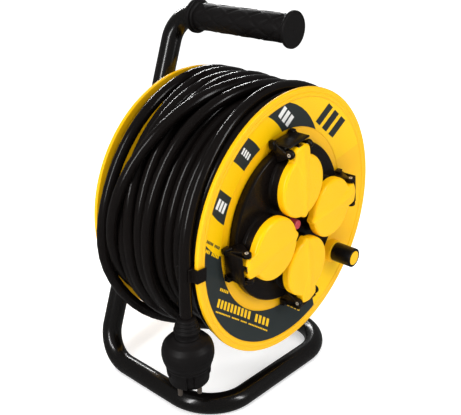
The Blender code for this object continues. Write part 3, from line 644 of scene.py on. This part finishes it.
def build_bracket():
    """The plate between the legs that carries the axle."""
    low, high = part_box("axle_bracket")
    front, back = low.y - HUB.y, high.y - HUB.y
    reach = (high.x - low.x) / 2
    half = (high.z - low.z) / 2
    end_half, flat_half = 0.014, 0.020
    outline = [
        (-reach, -end_half), (-flat_half, -half), (flat_half, -half), (reach, -end_half), (reach, end_half),
        (flat_half, half), (-flat_half, half), (-reach, end_half),
    ]
    outline = rounded(outline, 0.007, 5)
    # The outline is drawn in X and Z, and stands up between its front and back faces.
    upright = Matrix.Translation(HUB) @ Matrix.Rotation(math.radians(90), 4, "X")
    plate = prism("bracket_plate", outline, -back, -front, TUBE, upright, 0.0008)
    stands_for(plate, "frame", "tube", "axle_bracket")


# ---- drum --------------------------------
def flange_profile(sign, base):
    """Front face, rim and back face of a flange; sign turns it round for the rear flange."""
    points = [
        (0.0800, DISH + 0.0022), (LABEL_IN_R - 0.0008, DISH + 0.0003), (LABEL_IN_R, DISH - 0.0003),
        (LABEL_OUT_R, 0.0011), (0.1309, 0.0001), (0.1338, 0.0001), (0.1342, 0.0005), (0.1350, 0.0005),
        (0.1354, 0.0001), (RIM_R - 0.0002, 0.0001), (RIM_R, 0.0045), (0.1330, 0.0045), (0.1318, 0.0040),
        (0.0990, DISH + 0.0028), (HUB_R, DISH + 0.0044),
    ]
    radii = [
        0, 0.0012, 0.0012, 0.0010, 0.0010, 0.0003, 0.0003, 0.0003, 0.0003, 0.0013, 0.0013, 0.0010, 0.0010,
        0.0020, 0,
    ]
    return [(r, base + sign * y) for r, y in rounded(points, radii, closed=False)]


def build_flanges():
    """The drum's front flange with the knob's boss, and the core: barrel, ribbed web and rear flange."""
    front = flange_profile(1, 0.0) + [(0.0800, DISH + 0.0050)]
    disc = turned("flange_front", front, YELLOW, 224, at_hub())
    boss = rounded([(0, 0.0100), (0, 0.0014), (0.0124, 0.0014), (0.0136, 0.0100)], [0, 0, 0.0008, 0])
    boss = turned("boss", boss, YELLOW, 64, Matrix.Translation(HUB + Vector((KNOB_X, 0, KNOB_Z))))
    stands_for(joined("drum_front", [disc, boss]), "drum", "drum", "front_flange")

    rear = list(reversed(flange_profile(-1, DRUM_W)[1:-1]))
    web_back = DRUM_W - DISH - 0.0022
    web, web_front = web_back - 0.0012, web_back - 0.0042
    seat_front, seat_back = 0.0760, 0.1502
    barrel = HUB_R - 0.0004
    core = [(barrel, BARREL_FRONT), (barrel, rear[0][1] - 0.0016), *rear]
    core += rounded(
        [(0.0860, web_back + 0.0004), (0.0850, web), (0.0400, web), (0.0390, web_back + 0.0030),
         (0.0370, web_back + 0.0030), (0.0360, web), (0.0190, web), (0.0180, seat_back),
         (BUSH_SEAT_R, seat_back)],
        0.0006, closed=False,
    )
    core += [(BUSH_SEAT_R, seat_front), (0.0145, seat_front), (0.0160, web_front),
             (barrel - BARREL_T, web_front), (barrel - BARREL_T, BARREL_FRONT)]
    pieces = [turned("core", core, YELLOW, 224, at_hub())]
    for k in range(RIBS):
        low, high = (0.0385, web_back - 0.0030, -0.0009), (0.0865, web_back + 0.0022, 0.0009)
        pieces.append(box("rib", low, high, YELLOW, at_hub(turn=360 / RIBS * k + LID_ANGLES[0]), 0.0005))
    stands_for(joined("drum_rear", pieces), "drum", "drum", "drum_core")


# ---- label -------------------------------
LABEL_TURN = math.radians(-35)  # which way the label's lines of print run
PRINT_T = 0.00005
RING_LIFT = 0.0001  # each layer of print lies on the one before
FIELD_LIFT = 0.00018
MARK_LIFT = 0.00026


def cone_y(r, lift):
    """Depth of the label's face at a radius, lifted off it."""
    return DISH - 0.0003 - (r - LABEL_IN_R) * (DISH - 0.0014) / (LABEL_OUT_R - LABEL_IN_R) - lift


def printed(name, mat, columns, rows, lift, at):
    """A thin patch that lies on the cone. at(u, v) gives its points as (x, z) from the hub, for 0 to 1."""
    bm = bmesh.new()
    layers = []
    for off in (lift, lift - PRINT_T):
        grid = []
        for i in range(columns + 1):
            line = []
            for j in range(rows + 1):
                x, z = at(i / columns, j / rows)
                line.append(bm.verts.new(HUB + Vector((x, cone_y(math.hypot(x, z), off), z))))
            grid.append(line)
        layers.append(grid)
    for grid in layers:
        for i in range(columns):
            for j in range(rows):
                bm.faces.new((grid[i][j], grid[i + 1][j], grid[i + 1][j + 1], grid[i][j + 1]))
    top, under = layers
    border = [(i, 0) for i in range(columns)] + [(columns, j) for j in range(rows)]
    border += [(i, rows) for i in range(columns, 0, -1)] + [(0, j) for j in range(rows, 0, -1)]
    for (i, j), (k, m) in zip(border, border[1:] + border[:1]):
        bm.faces.new((top[i][j], top[k][m], under[k][m], under[i][j]))
    return finished(bm, name, mat)


def decal(name, start, end, mat, lift, rows=6, step=2.0):
    """A printed field between two edges, each given by its inner and its outer (angle, radius)."""
    (a0, r0), (a1, r1) = start
    (b0, s0), (b1, s1) = end

    def at(u, v):
        angle = math.radians((a0 * (1 - u) + b0 * u) * (1 - v) + (a1 * (1 - u) + b1 * u) * v)
        r = (r0 * (1 - u) + s0 * u) * (1 - v) + (r1 * (1 - u) + s1 * u) * v
        return r * math.cos(angle), r * math.sin(angle)

    return printed(name, mat, max(2, round(max(abs(b0 - a0), abs(b1 - a1)) / step)), rows, lift, at)


def mark(mat, low, high):
    """A small printed rectangle, between corners measured along and across the label's lines of print."""
    cos, sin = math.cos(LABEL_TURN), math.sin(LABEL_TURN)

    def at(u, v):
        along = low[0] + (high[0] - low[0]) * u
        across = low[1] + (high[1] - low[1]) * v
        return along * cos - across * sin, along * sin + across * cos

    return printed("mark", mat, 4, 4, MARK_LIFT, at)


def row_of_marks(mat, start, end, low, high, count, fill=0.62, skip=()):
    """Equal plain blocks in a line, in place of a line of print."""
    pitch = (end - start) / count
    return [
        mark(mat, (start + pitch * i, low), (start + pitch * (i + fill), high))
        for i in range(count) if i not in skip
    ]


def build_label():
    """The printed ring with its dark fields. Plain blocks stand where it is printed with words."""
    inner, outer = LABEL_IN_R + 0.0004, LABEL_OUT_R - 0.0004
    start, end = [(28, inner), (28, outer)], [(322, inner), (322, outer)]
    ring = decal("label_ring", start, end, LABEL, RING_LIFT, 8, 1.5)
    edges = [
        # (first edge, last edge) of each dark field
        ([(64.5, inner), (97.3, outer)], [(98.5, inner), (112.0, outer)]),
        ([(118.6, inner), (125.5, outer)], [(134.7, inner + 0.0004), (137.2, outer)]),
        ([(150.7, inner), (149.5, outer)], [(166.1, inner), (159.7, outer)]),
    ]
    fields = [decal("field", start, end, PATCH, FIELD_LIFT) for start, end in edges]
    start, end = [(184.3, inner), (172.7, outer)], [(300.0, inner), (294.5, outer)]
    fields.append(decal("field", start, end, PATCH, FIELD_LIFT, 8, 1.5))
    # The rows are (start, end) along the lines of print, then (low, high) across them.
    white = row_of_marks(PRINT_WHITE, -0.0920, -0.0610, 0.0785, 0.0900, 3, 0.68)
    white += row_of_marks(PRINT_WHITE, -0.1210, -0.0990, 0.0278, 0.0340, 4)
    white += row_of_marks(PRINT_WHITE, -0.1230, -0.1000, -0.0272, -0.0172, 3, 0.68)
    yellow = row_of_marks(LABEL, -0.0590, 0.0464, -0.1078, -0.0998, 15, skip=(10,))
    yellow += row_of_marks(LABEL, -0.0587, 0.0450, -0.1127, -0.1112, 34, 0.7, skip=(10, 16, 21))
    yellow += row_of_marks(LABEL, -0.0604, -0.0415, -0.0924, -0.0896, 5, 0.7)
    yellow += row_of_marks(LABEL, -0.1120, -0.0800, -0.0660, -0.0630, 9, 0.7, skip=(3,))
    yellow += row_of_marks(LABEL, 0.0690, 0.0930, -0.0790, -0.0725, 4)
    dark = row_of_marks(PATCH, -0.0250, 0.0230, 0.1030, 0.1250, 3, 0.64)
    dark += row_of_marks(PATCH, -0.1160, -0.0840, -0.0578, -0.0552, 10, 0.7, skip=(5,))
    stands_for(ring, "drum", "drum")
    stands_for(joined("label_fields", fields), "drum", "black_plastic")
    stands_for(joined("label_white_marks", white), "drum", "drum")
    stands_for(joined("label_yellow_marks", yellow), "drum", "drum")
    stands_for(joined("label_dark_marks", dark), "drum", "black_plastic")


# ---- socket panel ------------------------
def hinge_matrix(angle):
    """Local axes of a lid: origin on the hinge pin, X out from the drum's axis, -Y to the front."""
    return at_hub((PIN_AT, PIN_Y, 0), angle)


def lug_outline():
    """A lug's side view in a lid's axes: a round nose about the pin and a foot on the flange."""
    nose = 0.0046
    arc = [math.radians(a) for a in range(205, -66, -15)]
    points = [(nose * math.cos(a), -nose * math.sin(a)) for a in arc]
    base = DISH + 0.0001 - PIN_Y
    root = [
        (0.0062, 0.0120), (0.0091, 0.0150), (0.0091, base), (0.0030, base), (-0.0030, 0.0180),
        (-0.0105, 0.0180), (-0.0090, 0.0110),
    ]
    return [*points, *root]


def build_panel():
    """The black disc with its four holes, and each lid's lugs with the wall, saddle and feet beside them."""
    button_hole_r, wall_out, wall_in, wall_end = 0.0062, 0.0792, 0.0770, 0.0260
    back = PANEL_Y + 0.0026
    face = [
        (button_hole_r, PANEL_Y), (0.0400, PANEL_Y), (HUB_R - 0.0012, PANEL_Y + 0.0001),
        (HUB_R, PANEL_Y + 0.0020), (HUB_R, 0.0112), (wall_out, 0.0118), (wall_out, wall_end),
        (wall_in, wall_end), (wall_in, back), (button_hole_r, back),
    ]
    radii = [0.0005, 0, 0.0022, 0.0018, 0, 0, 0, 0, 0, 0]
    disc = turned("panel", rounded(face, radii, 6), BLACK, 200, at_hub())
    holes = []
    for angle in LID_ANGLES:
        hole = [(0, -0.01), (PANEL_HOLE_R, -0.01), (PANEL_HOLE_R, 0.03), (0, 0.03)]
        holes.append(turned("hole", hole, BLACK, 64, at_hub((LID_CENTRE, 0, 0), angle)))
    cut(disc, *holes)
    parts = [disc]
    for angle in LID_ANGLES:
        place = hinge_matrix(angle)
        for low, high in ((LUG_IN, LUG_OUT), (-LUG_OUT, -LUG_IN)):
            parts.append(prism("lug", lug_outline(), low, high, BLACK, place, 0.0006, 3))
        low, high = (0.0066, -0.0010, -0.0160), (0.0088, 0.0215, 0.0160)
        parts.append(box("wall", low, high, BLACK, place, 0.0008))
        low, high = (-0.0078, 0.0080, -0.0130), (0.0080, 0.0180, 0.0130)
        parts.append(box("saddle", low, high, BLACK, place, 0.0010))
        foot = [(0.0020, 0.0150), (0.0105, 0.0172), (0.0105, 0.0229), (0.0020, 0.0229)]
        for low, high in ((-0.0185, -0.0125), (0.0125, 0.0185)):
            parts.append(prism("foot", foot, low, high, BLACK, place, 0.0010, 3))
    stands_for(joined("panel_body", parts), "drum", "black_plastic", "socket_panel")


def build_sockets():
    """Round cups with a collar in front, two contact holes and a groove across for the earth clip."""
    shank_r, back = 0.0225, 0.0178
    cup = [
        (0, RECESS_Y), (RECESS_R, RECESS_Y), (RECESS_R, COLLAR_Y), (COLLAR_R, COLLAR_Y), (COLLAR_R, 0.0000),
        (COLLAR_R + 0.0016, PANEL_Y - 0.0001), (shank_r, PANEL_Y - 0.0001), (shank_r, back), (0, back),
    ]
    cup = rounded(cup, [0, 0.0008, 0.0012, 0.0010, 0.0016, 0, 0, 0.0010, 0], 5)
    contact = [(0, 0), (0.0036, 0), (0.0026, 0.0100), (0.0026, 0.0150), (0, 0.0150)]
    contact = rounded(contact, [0, 0, 0.001, 0, 0])
    groove_low = (-0.0034, 0.0040, -RECESS_R + 0.0003)
    groove_high = (0.0034, RECESS_Y + 0.0016, RECESS_R - 0.0003)
    for i, angle in enumerate(LID_ANGLES):
        place = at_hub((LID_CENTRE, 0, 0), angle)
        body = turned("cup", cup, BLACK, 96, place)
        tools = [
            turned("hole", contact, BLACK, 32, place @ Matrix.Translation((x, 0, 0)))
            for x in (-CONTACT_X, CONTACT_X)
        ]
        groove = box("groove", groove_low, groove_high, BLACK, place, 0)
        stands_for(cut(body, *tools, groove), "drum", "grey_plastic", f"socket_{i + 1}")


def lid_outline():
    """(angle, distance from the disc's middle) round a lid: a disc, its hinge tab and a small finger nub."""
    tab_half, tab_end = 0.0117, PIN_AT - LID_CENTRE + 0.0044
    bow, bow_half = 0.0030, 0.0085  # how far the tab's end is bowed, and half the width of the bow
    shoulder, fillet = 0.0090, 0.0006
    nub_spread, nub_height = 0.20, 0.0028
    count = 144
    out = []
    for k in range(count):
        a = math.tau * k / count
        c, s = math.cos(a), abs(math.sin(a))
        rho = LID_R
        if c > 0:
            to_side = tab_half / max(s, 1e-6)
            to_end = (tab_end - bow * min(1.0, s * LID_R / bow_half) ** 2) / c
            tab = min(to_side, to_end)
            ease = max(0.0, min(1.0, (shoulder - abs(tab - LID_R)) / shoulder)) * fillet
            rho = max(LID_R, tab) + (ease if tab > LID_R - shoulder else 0.0)
        from_nub = abs(a - math.pi)
        if from_nub < nub_spread:
            rho += nub_height * (0.5 + 0.5 * math.cos(math.pi * from_nub / nub_spread))
        out.append((a, rho))
    return out


def lid_mesh(outline):
    """A lid's shell in its own axes: a domed top with a leaf-shaped keel, a rounded edge, hollow below."""
    middle = LID_CENTRE - PIN_AT
    top, bottom = LID_TOP - PIN_Y, LID_BOTTOM - PIN_Y
    dome, keel_height = 0.0016, 0.0009
    # Each ring is a share of the edge's radius, or an inset from the edge where it rounds over.
    rows = [("share", f) for f in (0.12, 0.25, 0.38, 0.50, 0.62, 0.74, 0.84)]
    rows += [("inset", LID_EDGE * (1 - math.sin(math.radians(t)))) for t in (0, 18, 36, 54, 72, 90)]

    def crown(z, share):
        """Height of the top; the keel narrows and fades out towards the edge."""
        fall = 1 - min(1.0, share) ** 2
        petal = 0.0016 + 0.0048 * fall
        keel = keel_height * math.exp(-(z / petal) ** 2) * min(1.0, max(0.0, (1.02 - share) / 0.25))
        return top - dome * fall - keel

    bm = bmesh.new()
    rings = []
    for kind, value in rows:
        ring = []
        for a, rho in outline:
            r = rho * value if kind == "share" else rho - value
            drop = 0.0
            if kind == "inset":
                drop = LID_EDGE - math.sqrt(max(0.0, LID_EDGE ** 2 - (LID_EDGE - value) ** 2))
            z = r * math.sin(a)
            ring.append(bm.verts.new((middle + r * math.cos(a), crown(z, r / rho) + drop, z)))
        rings.append(ring)
    hollow = [(a, min(rho, LID_R) - LID_WALL) for a, rho in outline]
    for edge, y in ((outline, bottom), (hollow, bottom), (hollow, top + LID_SKIN)):
        rings.append([bm.verts.new((middle + r * math.cos(a), y, r * math.sin(a))) for a, r in edge])
    count = len(outline)
    for a, b in zip(rings, rings[1:]):
        for k in range(count):
            n = (k + 1) % count
            bm.faces.new((a[k], a[n], b[n], b[k]))
    for y, ring in ((crown(0, 0), rings[0]), (top + LID_SKIN, rings[-1])):
        centre = bm.verts.new((middle, y, 0))
        for k in range(count):
            bm.faces.new((centre, ring[k], ring[(k + 1) % count]))
    return bm


def build_lids():
    """Each lid with its hinge pin."""
    outline = lid_outline()
    for i, angle in enumerate(LID_ANGLES):
        place = hinge_matrix(angle)
        lid = finished(lid_mesh(outline), f"lid_cover_{i + 1}", LID_YELLOW, 50)
        lid.data.transform(place)
        # The spring's coil turns in a pocket in the middle of the tab.
        low, high = (-0.0100, -0.0028, -0.0042), (0.0100, 0.0200, 0.0042)
        cut(lid, box("pocket", low, high, LID_YELLOW, place, 0))
        stands_for(lid, f"lid_{i + 1}", "drum", f"lid_{i + 1}")
        build_pin(i, place)


def build_pin(i, hinge):
    """A hollow-ended steel pin with a flared head at each end."""
    place = hinge @ Matrix.Rotation(math.radians(90), 4, "X")
    pin = [
        (0, -PIN_HALF + 0.0010), (0.0008, -PIN_HALF + 0.0010), (0.0010, -PIN_HALF), (0.0018, -PIN_HALF),
        (0.0020, -PIN_HALF + 0.0004), (0.0015, -PIN_HALF + 0.0008),
    ]
    pin += [(r, -y) for r, y in reversed(pin)]
    stands_for(turned(f"pin_{i + 1}", pin, STEEL, 32, place), "drum", "steel", f"hinge_pin_{i + 1}")


# ---- knob and button ---------------------
def build_knob():
    """A sleeve that turns on the spindle, with a coloured disc set into its end."""
    end, root = KNOB_Y
    place = Matrix.Translation(HUB + Vector((KNOB_X, 0, KNOB_Z)))
    bore_r, nut_r, cap_hole_r = 0.0044, 0.0066, KNOB_CAP_R + 0.0003
    seat = end + KNOB_CAP_T + 0.0010
    step = end + KNOB_CAP_T + 0.0036
    sleeve = rounded(
        [(cap_hole_r, end + 0.0004), (KNOB_R, end + 0.0004), (KNOB_R, root), (bore_r, root), (bore_r, step),
         (nut_r, step), (nut_r, seat), (cap_hole_r, seat)],
        [0.0003, 0.0012, 0.0010, 0, 0, 0, 0, 0], 5,
    )
    stands_for(turned("knob_grip", sleeve, KNOB_BLACK, 64, place), "knob", "black_plastic", "knob_sleeve")
    back = end + KNOB_CAP_T
    cap = rounded([(0, end), (KNOB_CAP_R, end), (KNOB_CAP_R, back), (0, back)], [0, 0.0008, 0, 0], 5)
    stands_for(turned("knob_end", cap, YELLOW, 64, place), "knob", "drum", "knob_cap")


def build_button():
    low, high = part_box("reset_button")
    top, foot = low.y - HUB.y, high.y - HUB.y
    button = rounded([(0, top), (BUTTON_R, top), (BUTTON_R, foot), (0, foot)], [0, 0.0016, 0, 0], 5)
    stands_for(turned("button", button, BUTTON, 48, at_hub()), "reset", "button", "reset_button")


# ---- plug --------------------------------
def plug_matrix():
    """Local axes of the plug: origin at the end of the cable, +Y down along the leaning plug."""
    lean = Matrix.Rotation(math.radians(-PLUG_LEAN), 4, "Y")
    top = HUB + Vector((TAIL_X + TAIL_SHIFT, TAIL_Y, TAIL_BOTTOM)) - (lean @ Vector((0, 0, 0.0003)))
    # Turned pieces are made about +Y, and the plug hangs down, so local +Y becomes down.
    return Matrix.Translation(top) @ lean @ Matrix.Rotation(math.radians(-90), 4, "X")


def build_relief(place):
    """The ribbed sleeve that holds the cable where it enters the plug."""
    profile = [(0, 0.0), (0.0064, 0.0)]
    for k in range(4):
        r, s = 0.0092 + 0.0011 * k, 0.0006 + 0.0036 * k
        profile += [(r - 0.0009, s), (r, s + 0.0006), (r + 0.0003, s + 0.0024), (r - 0.0007, s + 0.0030)]
    profile += [(0.0113, 0.0158), (0.0113, 0.0192), (0.0120, 0.0205), (0, 0.0205)]
    sleeve = turned("strain_sleeve", rounded(profile, 0.0004, 2), RUBBER, 72, place)
    return stands_for(sleeve, "frame", "rubber", "plug_strain_relief")


def build_shell(place):
    """The plug's rubber body: a bulb to hold, and a stepped nose that goes into a socket."""
    profile = [
        (0, 0.0208), (0.0124, 0.0208), (0.0150, 0.0226), (0.0200, 0.0250), (0.0238, 0.0292),
        (0.0252, 0.0345), (0.0254, 0.0395), (0.0245, 0.0447), (0.0231, 0.0486), (0.0225, 0.0488),
        (0.0224, 0.0512), (0.0214, 0.0530), (0.0214, 0.0541), (0.0205, 0.0543), (0.0203, 0.0600),
        (0.0202, 0.0602), (0.0196, 0.0690), (0.0184, 0.0705), (0, 0.0705),
    ]
    radii = [
        0, 0.0006, 0.002, 0.004, 0.006, 0.006, 0.006, 0.006, 0.0004, 0.0004, 0.001, 0.0004, 0.0004, 0.0004,
        0, 0, 0.001, 0.001, 0,
    ]
    nose_from, shoulder_to, side_r = 0.0542, 0.0601, 0.0180
    twist = math.radians(PLUG_TWIST)

    def skirt(a, r, y):
        """Shoulders beside the two pins, and a recess for the earth contact on each side between them."""
        if y < nose_from or r < side_r:
            return 0.0, 0.0
        from_pins = abs((a - twist + math.pi / 2) % math.pi - math.pi / 2)
        if from_pins > math.radians(79):
            return 0.0, -0.0022
        return 0.0, 0.0010 if from_pins < math.radians(24) and y < shoulder_to else 0.0

    shell = turned("plug_shell", rounded(profile, radii, 5), RUBBER, 180, place, skirt, 32)
    return stands_for(shell, "frame", "rubber", "plug_body")


def build_prong(place, side):
    """One round pin of the plug, where the frame has it."""
    low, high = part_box(f"plug_pin_{side}")
    local = place.inverted() @ ((low + high) / 2)
    root, tip = 0.0700, 0.0895
    pin = rounded([(0, root), (PLUG_PIN_R, root), (PLUG_PIN_R, tip), (0, tip)], [0, 0, 0.0012, 0], 5)
    prong = turned(f"prong_{side}", pin, TIN, 32, place @ Matrix.Translation((local.x, 0, local.z)))
    return stands_for(prong, "frame", "steel", f"plug_pin_{side}")


def build_plug():
    place = plug_matrix()
    return [build_relief(place), build_shell(place), build_prong(place, "a"), build_prong(place, "b")]


def build_clip():
    """A clip that hooks over the front rim and holds the cable in a C that opens outwards."""
    inner, outer = CORD_D / 2 + 0.0002, CORD_D / 2 + 0.0018
    rim, hook = RIM_R + 0.0006, 0.0015
    front, back = -0.0006, 0.0050  # just clear of the rim's faces
    low, high = -0.0167, -0.0034
    inside = [math.radians(a) for a in range(-112, 123, 13)]
    outside = [math.radians(a) for a in range(120, -32, -10)]

    def around(radius, angles):
        return [(TAIL_X + radius * math.cos(a), TAIL_Y + radius * math.sin(a)) for a in angles]

    outline = around(inner, inside) + around(outer, outside)
    outline += [
        (-0.1334, 0.0062), (-0.1334, back), (-rim, back), (-rim, front), (-0.1301, front),
        (-0.1301, front - hook), (-rim - hook, front - hook), (-rim - hook, 0.0040),
    ]
    outline += around(outer, [math.radians(a) for a in (-86, -100, -112)])
    clip = prism("tail_clip", outline, low, high, BLACK, Matrix.Translation(HUB), 0.0003)
    return stands_for(clip, "frame", "black_plastic", "cord_clip")


# ---- studio ------------------------------
FLOOR_R = 12.0
FLOOR_DROP = 0.0002
FLOOR_GLOW = 0.48
BACKDROP_LIGHT = 0.16  # how strongly the backdrop lights the reel; to the camera it is white
SKY_POWER, SKY_ANGLE, SKY_AIM = 1.9, 45, Vector((0.25, 0.30, -1.0))
STRIPS = [
    # (name, place, target, size, power): thin strips that draw highlights on the round parts
    ("left_box", (-1.1, -0.10, 0.70), (0, 0, 0.2), (0.12, 0.9), 8.0),
    ("front_box", (0.35, -1.2, 0.75), (0, 0, 0.2), (0.14, 0.8), 6.0),
    ("back_box", (0.55, 0.95, 0.80), (0, 0, 0.25), (0.9, 0.06), 7.0),
]


def light(name, kind, power, direction):
    """A light that shines along a direction."""
    data = bpy.data.lights.new(name, kind)
    data.energy = power
    obj = placed(name, data)
    obj.rotation_euler = direction.to_track_quat("-Z", "Y").to_euler()
    return obj


def build_studio():
    """A pale floor and backdrop, a wide soft sky light and the strips."""
    bm = bmesh.new()
    bmesh.ops.create_circle(bm, cap_ends=True, segments=64, radius=FLOOR_R)
    mat = finish("floor_white", (247, 247, 247), 0.9, spread=0.0, bump=0.0)
    shader = mat.node_tree.nodes["Principled BSDF"]
    shader.inputs["Emission Color"].default_value = (1.0, 1.0, 1.0, 1.0)
    shader.inputs["Emission Strength"].default_value = FLOOR_GLOW
    floor = finished(bm, "floor", mat)
    floor.location.z = -FLOOR_DROP
    floor.visible_glossy = False

    world = bpy.data.worlds.new("studio")
    world.use_nodes = True
    tree = world.node_tree
    background = tree.nodes["Background"]
    background.inputs["Color"].default_value = (1.0, 1.0, 1.0, 1.0)
    rays = tree.nodes.new("ShaderNodeLightPath")
    level = tree.nodes.new("ShaderNodeMapRange")
    level.inputs["To Min"].default_value = BACKDROP_LIGHT
    level.inputs["To Max"].default_value = 1.0
    tree.links.new(rays.outputs["Is Camera Ray"], level.inputs["Value"])
    tree.links.new(level.outputs["Result"], background.inputs["Strength"])
    bpy.context.scene.world = world
    bpy.context.scene.view_settings.view_transform = "Standard"

    sky = light("sky", "SUN", SKY_POWER, SKY_AIM)
    sky.data.angle = math.radians(SKY_ANGLE)
    sky.visible_glossy = False
    for name, place, target, size, power in STRIPS:
        strip = light(name, "AREA", power, Vector(target) - Vector(place))
        strip.data.shape = "RECTANGLE"
        strip.data.size, strip.data.size_y = size
        strip.location = place
        strip.visible_camera = False


def dress_cad_nodes():
    """Better materials on the CAD nodes whose shape stays."""
    by_slot = {"zinc": ZINC, "steel": STEEL, "brass": BRASS, "grey_plastic": GREY, "rubber": RUBBER,
               "black_plastic": BLACK, "tube": TUBE, "drum": YELLOW, "cable": CABLE, "button": BUTTON}
    slots = {part["node"]: part["material_slot"] for part in frame["record"]["subparts"]}
    for name, obj in frame["nodes"].items():
        mat = by_slot[slots[name]]
        if not obj.material_slots:
            obj.data.materials.append(mat)
        for slot in obj.material_slots:
            slot.material = mat


place_camera()
build_winding()
tail, tail_exit = build_tail()
dress_cad_nodes()
build_stand()
build_flanges()
build_label()
build_panel()
build_sockets()
build_lids()
build_knob()
build_button()
on_tail = build_plug() + [build_clip()]
build_studio()
